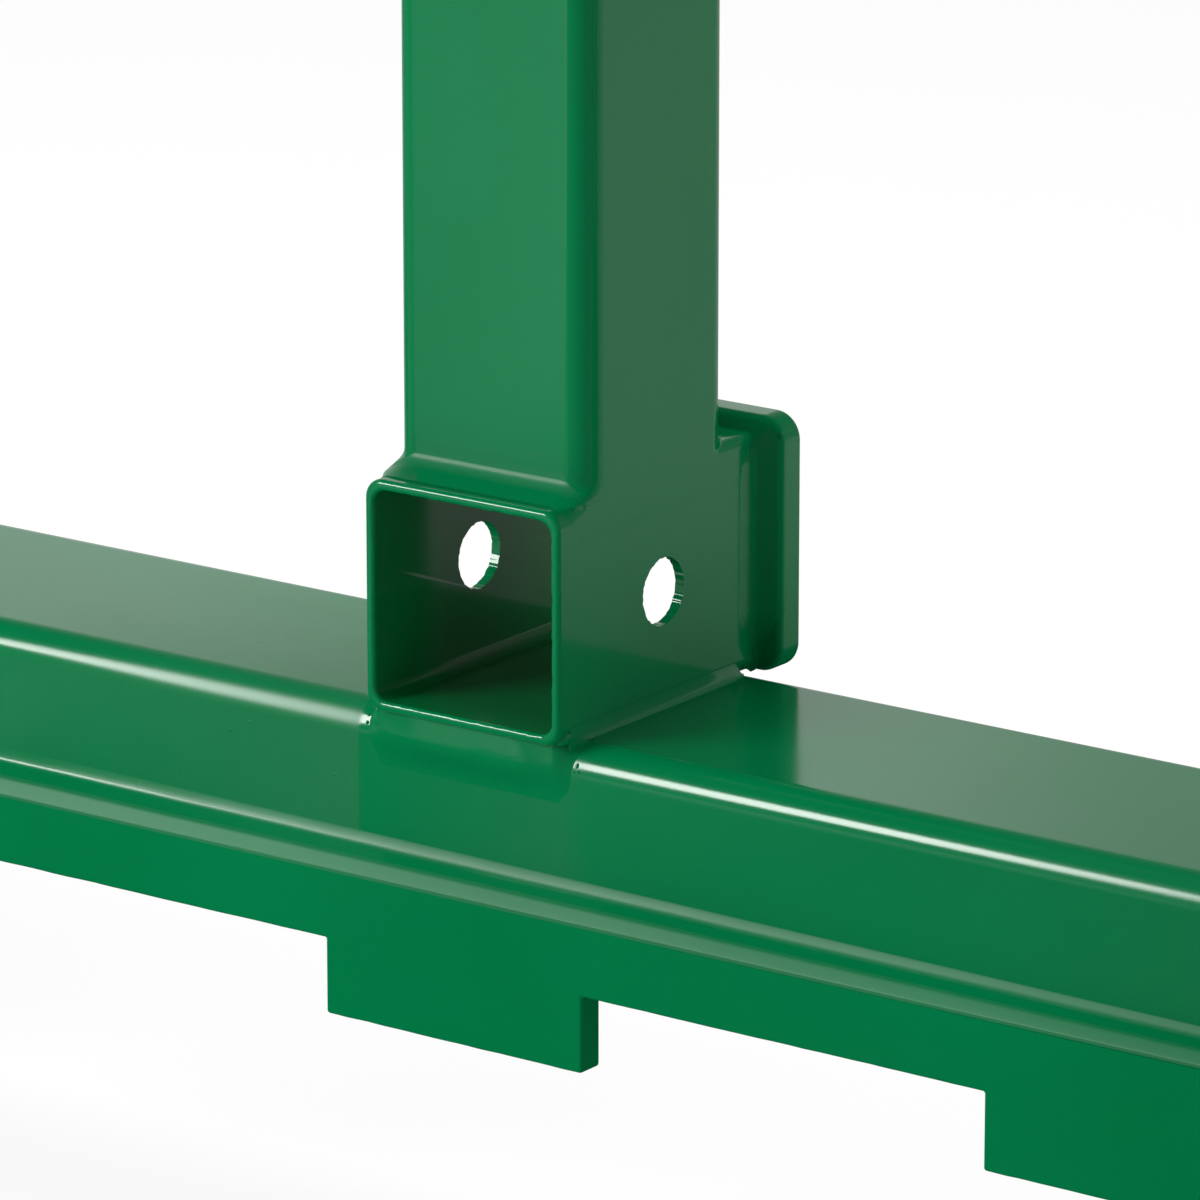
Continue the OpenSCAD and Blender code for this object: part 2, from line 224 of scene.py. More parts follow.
# A fillet's cross-section, from v = 0 on the upright face to v = 1 on the other, with both edges sunk a little
fillet = {"sunk": 0.00005, "hollow": 0.0001, "under": 0.00006}


def filletPoint(v, up, out):
    a, b, c = (1 - v) ** 2, 2 * v * (1 - v), v**2
    return out * c - fillet["sunk"] * a, up * a + fillet["hollow"] * b - fillet["under"] * c


# A drop of paint or spatter, squashed onto the metal; its lumps are shares of its radius
drop = {"subdivisions": 3, "lumpSize": 0.9, "lumpHeight": 0.35, "shape": (1.0, 0.7, 1.25)}


def makeDrop(spot, radius, shape=drop["shape"]):
    deselectAll()
    bpy.ops.mesh.primitive_ico_sphere_add(
        subdivisions=drop["subdivisions"], radius=radius, location=spot, scale=shape
    )
    ball = bpy.context.object
    bpy.ops.object.transform_apply()
    for vertex in ball.data.vertices:
        vertex.co += vertex.normal * wobble(vertex.co, radius * drop["lumpSize"], radius * drop["lumpHeight"])
    bpy.ops.object.shade_smooth()
    return ball


# A profile is walked from its first point, turning to each face angle (90 is upright) along its length
def walkProfile(turns, start, end, steps=120):
    points = [(0.0, 0.0)]
    length = turns[-1][0]
    for step in range(steps):
        at = (step + 0.5) / steps * length
        for (fromAt, fromAngle), (toAt, toAngle) in zip(turns, turns[1:]):
            if fromAt <= at <= toAt:
                angle = math.radians(fromAngle + (toAngle - fromAngle) * easeStep(at, fromAt, toAt))
        across, up = points[-1]
        points.append((across + math.cos(angle) * length / steps, up + math.sin(angle) * length / steps))
    acrossScale = (end[0] - start[0]) / points[-1][0]
    upScale = (end[1] - start[1]) / points[-1][1]
    return [(start[0] + a * acrossScale, start[1] + b * upScale) for a, b in points]


def alongProfile(points, share):
    spot = max(0.0, min(0.99999, share)) * (len(points) - 1)
    index = int(spot)
    part = spot - index
    (a, b), (c, d) = points[index], points[index + 1]
    return a + (c - a) * part, b + (d - b) * part


# helpers for materials: an input gets a value, or a link where it is given another node's output
def setInputs(tree, node, inputs):
    for name, value in inputs.items():
        if isinstance(value, bpy.types.NodeSocket):
            tree.links.new(value, node.inputs[name])
        else:
            node.inputs[name].default_value = value


def addNode(tree, kind, inputs=None):
    node = tree.nodes.new(kind)
    setInputs(tree, node, inputs or {})
    return node


def addNoise(tree, coordinates, scale, detail, stretch=(1, 1, 1)):
    mapping = addNode(tree, "ShaderNodeMapping", {"Vector": coordinates, "Scale": stretch})
    inputs = {"Vector": mapping.outputs["Vector"], "Scale": scale, "Detail": detail}
    return addNode(tree, "ShaderNodeTexNoise", inputs).outputs["Fac"]


def addMath(tree, operation, *values):
    node = addNode(tree, "ShaderNodeMath", dict(enumerate(values)))
    node.operation = operation
    return node.outputs["Value"]


def addRange(tree, value, low, high, toLow=0.0, toHigh=1.0, kind="LINEAR"):
    inputs = {"Value": value, "From Min": low, "From Max": high, "To Min": toLow, "To Max": toHigh}
    node = addNode(tree, "ShaderNodeMapRange", inputs)
    node.interpolation_type = kind
    return node.outputs["Result"]


# The outputs X, Y and Z of a place
def splitPlace(tree, place):
    return addNode(tree, "ShaderNodeSeparateXYZ", {"Vector": place}).outputs


# A ramp through a list of positions and levels
def addLevels(tree, share, levels):
    ramp = addNode(tree, "ShaderNodeValToRGB", {"Fac": share})
    while len(ramp.color_ramp.elements) < len(levels):
        ramp.color_ramp.elements.new(0.5)
    for element, (position, level) in zip(ramp.color_ramp.elements, levels):
        element.position = position
        element.color = (level, level, level, 1)
    return ramp.outputs["Color"]


# A region that fades in and out along the object's axes: the ramps are multiplied
def addRegion(tree, coordinates, group):
    region = None
    for axis, fromPlace, toPlace, levels in group:
        share = addRange(tree, splitPlace(tree, coordinates)[axis], fromPlace, toPlace)
        ramp = addLevels(tree, share, levels)
        region = addMath(tree, "MULTIPLY", region, ramp) if region else ramp
    return region


noiseSpan = (0.3, 0.7)  # the part of a noise's range over which colour and roughness change
noiseDetail = {"cloud": 3.0, "smear": 4.0, "bump": 2.0}


# dull is a list of regions of added roughness, shade a region painted in a darker colour as painted shade
def makeFinish(name, settings, dull=(), shade=None):
    material = bpy.data.materials.new(name)
    material.use_nodes = True
    tree = material.node_tree
    coordinates = addNode(tree, "ShaderNodeTexCoord").outputs["Object"]
    cloud = addNoise(tree, coordinates, settings["cloudScale"], noiseDetail["cloud"])
    ramp = addNode(tree, "ShaderNodeValToRGB", {"Fac": cloud})
    for element, position, key in zip(ramp.color_ramp.elements, noiseSpan, ("deepColour", "colour")):
        element.position = position
        element.color = (*settings[key], 1)
    colour = ramp.outputs["Color"]
    smear = addNoise(tree, coordinates, settings["smearScale"], noiseDetail["smear"], settings["smearStretch"])
    roughness = addRange(tree, smear, *noiseSpan, *settings["roughness"])
    for group in dull:
        roughness = addMath(tree, "ADD", roughness, addRegion(tree, coordinates, group))
    # the shade region gets a darker base colour: painted shade
    if shade:
        mix = addNode(tree, "ShaderNodeMix")
        mix.data_type = "RGBA"  # before its inputs, which depend on it
        region = addRegion(tree, coordinates, shade)
        setInputs(tree, mix, {"Factor": region, "A": colour, "B": (*settings["insideShadeColour"], 1)})
        colour = mix.outputs["Result"]
    inputs = {"Base Color": colour, "Roughness": roughness}
    inputs |= {"Metallic": settings["metallic"], "IOR": settings["ior"]}
    for scale, height, stretch in settings["bumps"]:
        texture = addNoise(tree, coordinates, scale, noiseDetail["bump"], stretch)
        bump = addNode(tree, "ShaderNodeBump", {"Strength": 1.0, "Distance": height, "Height": texture})
        if "Normal" in inputs:
            setInputs(tree, bump, {"Normal": inputs["Normal"]})
        inputs["Normal"] = bump.outputs["Normal"]
    setInputs(tree, tree.nodes["Principled BSDF"], inputs)
    return material


# finishes
tubePaintSettings = {
    "colour": (0.0, 0.172, 0.056),
    "deepColour": (0.0, 0.152, 0.047),
    "cloudScale": 9.0,
    "roughness": (0.08, 0.13),
    "smearScale": 22.0,
    "smearStretch": (0.25, 1, 1),
    "metallic": 0.0,
    "ior": 1.5,
    # scale per metre, height in metres, stretch
    "bumps": [
        (14.0, 0.00012, (0.6, 1, 1)),
        (230.0, 0.000005, (1, 1, 1)),
        (1300.0, 0.0000016, (0.15, 1, 1)),
    ],
}
seamPaintSettings = dict(  # the long machine-laid welds
    tubePaintSettings,
    roughness=(0.10, 0.15),
    bumps=[(38.0, 0.00010, (1, 1, 1)), (260.0, 0.000007, (1, 1, 1))],
)
headPaintSettings = dict(  # the weld at the post's head, duller where paint lies thick
    tubePaintSettings,
    roughness=(0.36, 0.48),
    bumps=[(60.0, 0.00016, (1, 1, 1)), (420.0, 0.000016, (1, 1, 1))],
)
footPaintSettings = dict(  # glossy like the tubes, duller on the bead itself
    tubePaintSettings,
    bumps=[(14.0, 0.00012, (0.6, 1, 1)), (700.0, 0.000004, (1, 0.3, 0.3))],
)
# darker green painted inside the receiver: painted shade in the tube's hollow
receiverPaintSettings = dict(tubePaintSettings, insideShadeColour=(0.0, 0.11352, 0.02352))
forkPaintSettings = dict(
    tubePaintSettings,
    colour=(0.022, 0.023, 0.025),
    deepColour=(0.014, 0.0145, 0.016),
    cloudScale=12.0,
    roughness=(0.46, 0.58),
    smearScale=18.0,
    smearStretch=(1, 0.3, 1),
    bumps=[(20.0, 0.00015, (1, 0.5, 1)), (350.0, 0.00002, (1, 1, 1))],
)
zincSettings = {
    "colour": (0.66, 0.67, 0.68),
    "deepColour": (0.5, 0.5, 0.5),
    "cloudScale": 160.0,
    "roughness": (0.24, 0.4),
    "smearScale": 300.0,
    "smearStretch": (1, 1, 0.1),
    "metallic": 1.0,
    "ior": 1.5,
    "bumps": [(900.0, 0.000006, (1, 1, 1))],
}

# The regions: axis, start and end in metres, then levels at shares of the way between them
# painted shade: the receiver's inside is painted darker, from just behind the mouth
insideShadeLevels = [(0, 0), (0.006, 1), (0.994, 1), (1, 0)]
receiverInsideShade = [
    ("X", -0.0276, 0.0276, insideShadeLevels),
    ("Z", 0.1624, 0.2176, insideShadeLevels),
    ("Y", 0.4776, 0.4792, [(0, 0), (1, 1)]),
]
seamLevels = [(0, 0.05), (0.13, 0.08), (0.19, 0.14), (0.25, 0.21), (0.42, 0.30), (0.64, 0.39), (1, 0.50)]
seamDull = [
    [("Y", 0.4740, 0.4768, [(0, 0.40), (0.65, 0.38), (1, 0)])],
    [("X", -0.20, 0.26, seamLevels), ("Y", 0.4786, 0.4800, [(0, 0), (1, 1)])],
]
sideDull = [[("Z", 0.1614, 0.1603, [(0, 0), (1, 0.3)]), ("Y", 0.4890, 0.4905, [(0, 0), (1, 1)])]]
footDull = [
    [
        ("Y", 0.48946, 0.4845, [(0, 0), (0.045, 0.36), (0.42, 0.36), (0.75, 0.04), (1, 0)]),
        ("X", 0.0260, 0.0295, [(0, 1), (1, 0)]),
    ]
]
railLevels = [(0, 0), (0.238, 0.17), (0.369, 0.25), (0.371, 0)]
railLevels += [(0.52, 0.16), (0.54, 0.06), (0.75, 0.05), (1, 0.14)]
railDull = [[("X", -0.19, 0.23, railLevels)]]

tubePaint = makeFinish("greenTubePaint", tubePaintSettings)
seamPaint = makeFinish("greenSeamPaint", seamPaintSettings, seamDull)
headPaint = makeFinish("greenWeldPaint", headPaintSettings)
# the receiver's paint, darkened inside as painted shade
receiverPaint = makeFinish("greenReceiverPaint", receiverPaintSettings, shade=receiverInsideShade)
sidePaint = makeFinish("greenSidePaint", tubePaintSettings, sideDull)
footPaint = makeFinish("greenFootPaint", footPaintSettings, footDull)
railPaint = makeFinish("greenRailPaint", tubePaintSettings, railDull)
forkPaint = makeFinish("blackForkPaint", forkPaintSettings)
zincPlate = makeFinish("zincPlate", zincSettings)
print("finishes ready")

# rails, their bars and the long welds
rail = {
    "corner": 0.008,
    "steps": 16,
    # the heat of the receiver's welds has drawn the lower rail's front edge in: depth, where along X it
    # starts and ends, the middle of the dip round the corner and its half width in degrees
    "sag": 0.00017,
    "sagStart": (-0.160, -0.070),
    "sagEnd": (-0.038, -0.024),
    "sagAngle": 63,
    "sagSpread": 25,
    # first cut, last cut and number of cuts
    "cuts": (-0.160, -0.014, 31),
}


def sagRail(tube, low, high):
    first, last, count = rail["cuts"]
    startEdit(tube)
    cutAcross(first + (last - first) * step / (count - 1) for step in range(count))
    endEdit()
    centreY, centreZ = low.y + rail["corner"], high.z - rail["corner"]
    for vertex in tube.data.vertices:
        spoke = Vector((0, vertex.co.y - centreY, vertex.co.z - centreZ))
        if spoke.y <= 0 and spoke.z >= 0:
            away = abs(math.degrees(math.atan2(-spoke.y, spoke.z)) - rail["sagAngle"])
            dip = 0.5 + 0.5 * math.cos(math.pi * min(1.0, away / rail["sagSpread"]))
            share = easeStep(vertex.co.x, *rail["sagStart"]) * (1 - easeStep(vertex.co.x, *rail["sagEnd"]))
            vertex.co -= spoke.normalized() * rail["sag"] * share * dip


def makeRail(node, name, paint, sagging=False):
    low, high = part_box(node)
    tube = addRoundBlock(name, low, high, xAxis, rail["corner"], rail["steps"])
    if sagging:
        sagRail(tube, low, high)
    shadePiece(tube)
    finishPiece(tube, [node], paint)


makeRail("lower_rail", "lowerRailTube", railPaint, sagging=True)
makeRail("top_rail", "topRailTube", tubePaint)

lowerBar = {
    "tabHalf": 0.040,
    "pitch": 0.199,
    "tabs": 2,
    "notchDepth": 0.020,
    "edge": 0.0010,
    "edgeSteps": 4,
    "sharpAngle": 50,
    # the upper front edge is melted into the weld
    "meltedEdge": 0.0022,
    # the flame-cut lower edge is not quite straight: cuts in each stretch, lump size and height
    "cuts": 24,
    "lumpSize": 0.006,
    "rough": 0.00012,
}


def makeLowerBar():
    low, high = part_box("lower_notched_bar")
    cutZ = low.z + lowerBar["notchDepth"]
    lowest = cutZ + 0.001
    bar = addBlock("lowerNotchedBar", (low.x, low.y, cutZ), high)
    centres = [step * lowerBar["pitch"] for step in range(-lowerBar["tabs"], lowerBar["tabs"] + 1)]
    outer = (lowerBar["tabs"] + 1) * lowerBar["pitch"] - lowerBar["tabHalf"]

    def meltedEdge(place, way):
        return abs(way.x) > 0.9 and place.z > high.z - sameSpot and place.y < low.y + sameSpot

    def underTab(place, normal):
        near = min(abs(place.x - c) for c in centres) < lowerBar["tabHalf"]
        return normal.z < -0.9 and (near or abs(place.x) > outer)

    startEdit(bar)
    pickEdges(bar, meltedEdge)
    bpy.ops.mesh.bevel(offset=lowerBar["meltedEdge"], segments=1)
    bpy.ops.mesh.select_mode(type="FACE")
    cutAcross(sorted([c + side * lowerBar["tabHalf"] for c in centres for side in (-1, 1)] + [-outer, outer]))
    pickFaces(bar, underTab)
    bpy.ops.mesh.extrude_region_move(TRANSFORM_OT_translate={"value": (0, 0, -lowerBar["notchDepth"])})
    bpy.ops.mesh.select_mode(type="EDGE")
    pickEdges(bar, lambda place, way: place.z < lowest and abs(way.x) > 0.9)
    bpy.ops.mesh.subdivide(number_cuts=lowerBar["cuts"])
    endEdit()
    for vertex in bar.data.vertices:
        if vertex.co.z < lowest:
            vertex.co.z += wobble((vertex.co.x, 0, vertex.co.z), lowerBar["lumpSize"], lowerBar["rough"])
    bevelSharp(bar, lowerBar["edge"], lowerBar["edgeSteps"], lowerBar["sharpAngle"])
    shadePiece(bar)
    finishPiece(bar, ["lower_notched_bar"], tubePaint)


makeLowerBar()

longWeld = {
    # distance along the profile in mm, face angle: a round toe on the bar, a shelf, then a hollow up the rail
    "turns": [
        (0, 90), (0.85, 88), (1.2, 54), (4.3, 52.5), (5.7, 24), (9.2, 28), (10.9, 52), (11.2, 66), (12.9, 72),
        (14.7, 89),
    ],
    "height": 0.00925,
    # the bead gets lower from left to right: start, end, loss of height, share of the loss at the toe
    "fall": (-0.13, 0.23, 0.0034, 0.7),
    "setBack": 0.00005,
    "intoRail": 0.00006,
    "overEdge": 0.0024,
    "grid": (420, 70),
    # lump height and size
    "rough": (0.00008, 0.018),
}


def makeLongWeld(node, name, way):
    low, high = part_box(node)
    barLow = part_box("lower_notched_bar")[0]
    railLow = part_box("lower_rail")[0]
    foot = low.z if way > 0 else high.z
    start = (barLow.y + longWeld["setBack"], -longWeld["overEdge"])
    end = (railLow.y + longWeld["intoRail"], longWeld["height"])
    profile = walkProfile(longWeld["turns"], start, end)
    fallFrom, fallTo, fall, toeShare = longWeld["fall"]

    def place(u, v):
        across, up = alongProfile(profile, v)
        x = low.x + (high.x - low.x) * u
        share = max(0.0, min(1.0, (x - fallFrom) / (fallTo - fallFrom)))
        up *= 1 - share * fall / longWeld["height"] * (toeShare + (1 - toeShare) * v)
        return x, across, foot + way * up

    bead = makeBead(name, longWeld["grid"], place, (0, -1, way), *longWeld["rough"])
    finishPiece(bead, [node], seamPaint)


makeLongWeld("lower_bar_weld", "lowerBarWeld", 1)
makeLongWeld("top_bar_weld", "topBarWeld", -1)
print("rails and bars ready")

# the hitch receiver
receiver = {
    "corner": 0.005,
    "cornerSteps": 14,
    "innerCorner": 0.0036,
    "innerWall": 0.0027,
    # width and segments
    "outerRim": (0.0013, 6),
    "innerRim": (0.0011, 5),
    # the saw left a burr along the inner edge: cuts in each side, how far it reaches across the wall, behind
    # the mouth and past a side's line, lump size and height, and the share that goes along the tube
    "burrCuts": 44,
    "burrReach": 0.0012,
    "burrDepth": 0.0015,
    "burrSide": 0.002,
    "burrSize": 0.0016,
    "burr": 0.00034,
    "burrAlong": 0.6,
    # the pin hole was burnt through, so its rim is uneven: sides, cuts along the cutter, lump size and height
    "holeRadius": 0.00875,
    "holeFromMouth": 0.044,
    "holeHeight": 0.0305,
    "drillLength": 0.08,
    "holeSides": 120,
    "holeCuts": 9,
    "holeLump": 0.0012,
    "burnt": 0.00040,
    # the hole's rim: width, segments, least angle
    "holeRim": (0.0003, 3, 60),
    # a glossy drop at the mouth: place and radius
    "glint": ((0.0291, 0.4781, 0.2156), 0.0004),
}


# How far a point lies outside a rounded square about the tube's axis
def beyondSquare(place, middleZ, half, corner):
    a, b = abs(place.x) - (half - corner), abs(place.z - middleZ) - (half - corner)
    if a > 0 and b > 0:
        return math.hypot(a, b) - corner
    return max(a, b) - corner


def makeSleeve(low, high, corner):
    sleeve = addRoundBlock("sleeve", low, high, yAxis, corner, receiver["cornerSteps"])
    deleteFaces(sleeve, lambda place, normal: abs(normal.y) > 0.9)
    return sleeve


# Closes the rim at both ends in two strips, so that the bridge can't twist
def bridgeRims(tube, low, high, middleZ):
    for endY in (low.y, high.y):
        for flatTop in (False, True):

            def strip(place, way, endY=endY, flatTop=flatTop):
                isTop = abs(way.x) > 0.999 and place.z > middleZ
                return abs(place.y - endY) < sameSpot and abs(way.y) < 0.1 and isTop == flatTop

            startEdit(tube)
            pickEdges(tube, strip)
            bpy.ops.mesh.bridge_edge_loops()
            endEdit()


def addBurr(tube, low, middleZ, inner):
    for vertex in tube.data.vertices:
        v = vertex.co
        inward = abs(beyondSquare(v, middleZ, inner, receiver["innerCorner"]))
        if v.y < low.y + receiver["burrDepth"] and inward < receiver["burrReach"]:
            share = 1 - min(1.0, inward / receiver["burrReach"])
            share *= max(0.0, 1 - (v.y - low.y) / receiver["innerRim"][0])
            push = wobble((v.x, v.z, 1.7), receiver["burrSize"], receiver["burr"]) * share
            v.y += push * receiver["burrAlong"]
            v.x += push if abs(v.x) > inner - receiver["burrSide"] else 0
            v.z += push if abs(v.z - middleZ) > inner - receiver["burrSide"] else 0


def makeDrill(holeY, holeZ):
    deselectAll()
    bpy.ops.mesh.primitive_cylinder_add(
        vertices=receiver["holeSides"],
        radius=receiver["holeRadius"],
        depth=receiver["drillLength"],
        location=(0, holeY, holeZ),
        rotation=(0, math.pi / 2, 0),
    )
    drill = bpy.context.object
    bpy.ops.object.transform_apply()
    startEdit(drill)
    pickEdges(drill, along(xAxis))
    bpy.ops.mesh.subdivide(number_cuts=receiver["holeCuts"])
    endEdit()
    for vertex in drill.data.vertices:
        spoke = Vector((0, vertex.co.y - holeY, vertex.co.z - holeZ))
        if spoke.length > 0.001:  # not the middle of an end
            vertex.co += spoke.normalized() * wobble(vertex.co, receiver["holeLump"], receiver["burnt"])
    return drill


def makeReceiver():
    low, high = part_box("receiver_tube")
    middleZ = (low.z + high.z) / 2
    wall = receiver["innerWall"]
    inner = high.x - wall
    tube = makeSleeve(low, high, receiver["corner"])
    innerLow, innerHigh = (low.x + wall, low.y, low.z + wall), (inner, high.y, high.z - wall)
    lining = makeSleeve(innerLow, innerHigh, receiver["innerCorner"])
    flipAll(lining)
    joinPieces([tube, lining], "receiverTube")
    bridgeRims(tube, low, high, middleZ)

    def mouthEdge(half, corner, straight=False):
        def test(place, way):
            beyond = abs(beyondSquare(place, middleZ, half, corner))
            atEdge = abs(place.y - low.y) < sameSpot and abs(way.y) < 0.1 and beyond < 2 * sameSpot
            return atEdge and (not straight or max(abs(way.x), abs(way.z)) > 0.999)

        return test

    startEdit(tube)
    roundEdges(tube, mouthEdge(high.x, receiver["corner"]), *receiver["outerRim"])
    pickEdges(tube, mouthEdge(inner, receiver["innerCorner"], straight=True))
    bpy.ops.mesh.subdivide(number_cuts=receiver["burrCuts"])
    roundEdges(tube, mouthEdge(inner, receiver["innerCorner"]), *receiver["innerRim"])
    endEdit()
    addBurr(tube, low, middleZ, inner)
    cutAway(tube, makeDrill(low.y + receiver["holeFromMouth"], low.z + receiver["holeHeight"]))
    bevelSharp(tube, *receiver["holeRim"])
    shadePiece(tube)
    tube = joinPieces([tube, makeDrop(*receiver["glint"])], "receiverTube")
    finishPiece(tube, ["receiver_tube"], receiverPaint)


makeReceiver()

collar = {
    # size and segments
    "corner": (0.007, 12),
    "edge": (0.0020, 6),
    "backEdge": (0.0012, 5),
    "socketCorner": (0.0036, 6),
    "socketPast": 0.01,
}


def makeCollar():
    low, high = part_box("receiver_collar")
    tubeLow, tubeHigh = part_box("receiver_tube")
    plate = addRoundBlock("receiverCollar", low, high, yAxis, *collar["corner"])
    startEdit(plate)
    roundEdges(plate, lambda place, way: abs(way.y) < 0.1 and place.y < low.y + 0.001, *collar["edge"])
    roundEdges(plate, lambda place, way: abs(way.y) < 0.1 and place.y > high.y - sameSpot, *collar["backEdge"])
    endEdit()
    wall, past = receiver["innerWall"], collar["socketPast"]
    socketLow = (tubeLow.x + wall, low.y - past, tubeLow.z + wall)
    socketHigh = (tubeHigh.x - wall, high.y + past, tubeHigh.z - wall)
    cutAway(plate, addRoundBlock("socket", socketLow, socketHigh, yAxis, *collar["socketCorner"]))
    shadePiece(plate)
    finishPiece(plate, ["receiver_collar"], tubePaint)


makeCollar()

collarWeld = {
    # distance along the profile in mm, turn away from the tube's side: hollow, chamfer, then round onto the
    # collar's edge
    "turns": [(0, 0), (5, 4), (8, 26), (9.6, 46), (13.2, 50), (14.8, 28), (17, 0)],
    # the profile's ends: along the tube from its back end, and out from its surface or from the collar's edge
    "start": (-0.0100, -0.00003),
    "end": (0.0022, 0.00004),
    # how far the bead wraps round the tube's lower corners, in degrees
    "wrap": 63,
    # the bead grows between these shares of its length, from this reach and this share of its length on the tube;
    # under the tube's lower corners, where the collar has no edge, it reaches this far
    "taper": (0.015, 0.10),
    "thin": 0.0012,
    "backShare": 0.3,
    "lowReach": 0.0045,
    "grid": (300, 44),
    "rough": 0.00010,
    "glint": ((0.0363, 0.5630, 0.2228), 0.0007),
}


# Walks round the tube's outside, from its lower right corner over the top to its lower left corner
def aroundTube(share, half, low, top, corner):
    right, lowZ, topZ = half - corner, low + corner, top - corner
    wrap = collarWeld["wrap"]
    bend, side = corner * math.pi / 2, topZ - lowZ
    legs = [  # length, the corner centre's x and z at the start and at the end, angle at the start and at the end
        (bend * wrap / 90, (right, lowZ), (right, lowZ), -wrap, 0),
        (side, (right, lowZ), (right, topZ), 0, 0),
        (bend, (right, topZ), (right, topZ), 0, 90),
        (2 * right, (right, topZ), (-right, topZ), 90, 90),
        (bend, (-right, topZ), (-right, topZ), 90, 180),
        (side, (-right, topZ), (-right, lowZ), 180, 180),
        (bend * wrap / 90, (-right, lowZ), (-right, lowZ), 180, 180 + wrap),
    ]
    at = share * sum(leg[0] for leg in legs)
    for leg in legs:
        length, (startX, startZ), (endX, endZ), startAngle, endAngle = leg
        if at <= length or leg is legs[-1]:
            break
        at -= length
    part = min(1.0, at / length)
    angle = math.radians(startAngle + (endAngle - startAngle) * part)
    outX, outZ = math.cos(angle), math.sin(angle)
    x, z = startX + (endX - startX) * part, startZ + (endZ - startZ) * part
    return (x + corner * outX, z + corner * outZ), (outX, outZ)


# How far the collar's edge is from the tube's surface, along the way out
def collarReach(outX, outZ, half, collarHigh, tubeHigh):
    across, down = abs(outX), outZ
    corner, tubeCorner = collar["corner"][0], receiver["corner"]
    flatX = collarHigh.x - (half - tubeCorner)
    if down < 0:
        return flatX / max(across, 0.001) - tubeCorner if across > 0.9 else None
    flatZ = collarHigh.z - (tubeHigh.z - tubeCorner)
    centreX, centreZ = flatX - corner, flatZ - corner
    if across > 0.001 and flatX / across * down <= centreZ:
        return flatX / across - tubeCorner
    if down > 0.001 and flatZ / down * across <= centreX:
        return flatZ / down - tubeCorner
    reach = across * centreX + down * centreZ
    return reach + math.sqrt(reach**2 - centreX**2 - centreZ**2 + corner**2) - tubeCorner


def makeCollarWeld():
    low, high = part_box("receiver_tube")
    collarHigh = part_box("receiver_collar")[1]
    (startBack, startOut), (endBack, endOut) = collarWeld["start"], collarWeld["end"]
    thin, backShare = collarWeld["thin"], collarWeld["backShare"]
    profile = walkProfile(collarWeld["turns"], (startBack, 0.0), (endBack, 1.0))

    def place(u, v):
        (x, z), (outX, outZ) = aroundTube(u, high.x, low.z, high.z, receiver["corner"])
        ends = easeStep(u, *collarWeld["taper"]) * easeStep(1 - u, *collarWeld["taper"])
        reach = collarReach(outX, outZ, high.x, collarHigh, high) or collarWeld["lowReach"]
        reach = thin + (reach - thin) * ends + endOut * ends
        back, share = alongProfile(profile, v)
        back *= backShare + (1 - backShare) * ends if back < 0 else ends
        out = startOut * (1 - v) + reach * share
        return x + outX * out, high.y + back, z + outZ * out

    bead = makeBead("receiverCollarWeld", collarWeld["grid"], place, (0, -1, 1), collarWeld["rough"])
    bead = joinPieces([bead, makeDrop(*collarWeld["glint"])], "receiverCollarWeld")
    finishPiece(bead, ["receiver_collar_weld"], tubePaint)


makeCollarWeld()

sideWeld = {
    "onTube": 0.0053,
    "onRail": (0.0008, 0.0012),
    "start": 0.0048,
    "end": 0.079,
    # size at the front and at the back end, and the share of the length over which the bead grows to full size
    "front": (0.75, 0.12),
    "back": (0.15, 0.07),
    # the size varies a little, with other waves on each side
    "waves": 12,
    "waveShift": 3,
    "waveSize": 0.08,
    "grid": (90, 14),
    "rough": 0.00002,
}


def railDrop(y, railLow, railHigh):
    past = max(0.0, railLow.y + rail["corner"] - y, y - (railHigh.y - rail["corner"]))
    return roundInset(past, rail["corner"])


def makeSideWelds():
    low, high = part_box("receiver_tube")
    railLow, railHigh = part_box("lower_rail")
    (front, frontEase), (back, backEase) = sideWeld["front"], sideWeld["back"]
    pieces = []
    for side in (-1, 1):

        def place(u, v, side=side):
            y = low.y + sideWeld["start"] + (sideWeld["end"] - sideWeld["start"]) * u
            size = front + (1 - front) * easeStep(u, 0, frontEase)
            size *= back + (1 - back) * easeStep(1 - u, 0, backEase)
            wave = noise.noise((u * sideWeld["waves"], side * sideWeld["waveShift"], 0))
            size *= 1 + sideWeld["waveSize"] * wave
            base = low.z - railDrop(y, railLow, railHigh)
            narrow, wide = sideWeld["onRail"]
            reach = (narrow + (wide - narrow) * u) * (0.5 + 0.5 * size)
            out, up = filletPoint(v, low.z - base + sideWeld["onTube"] * size, reach)
            return side * (high.x + out), y, base + up

        pieces.append(makeBead("sideWeld", sideWeld["grid"], place, (side, 0, 1), sideWeld["rough"]))
    joined = joinPieces(pieces, "receiverSideWelds")
    finishPiece(joined, ["receiver_side_welds"], sidePaint)


makeSideWelds()

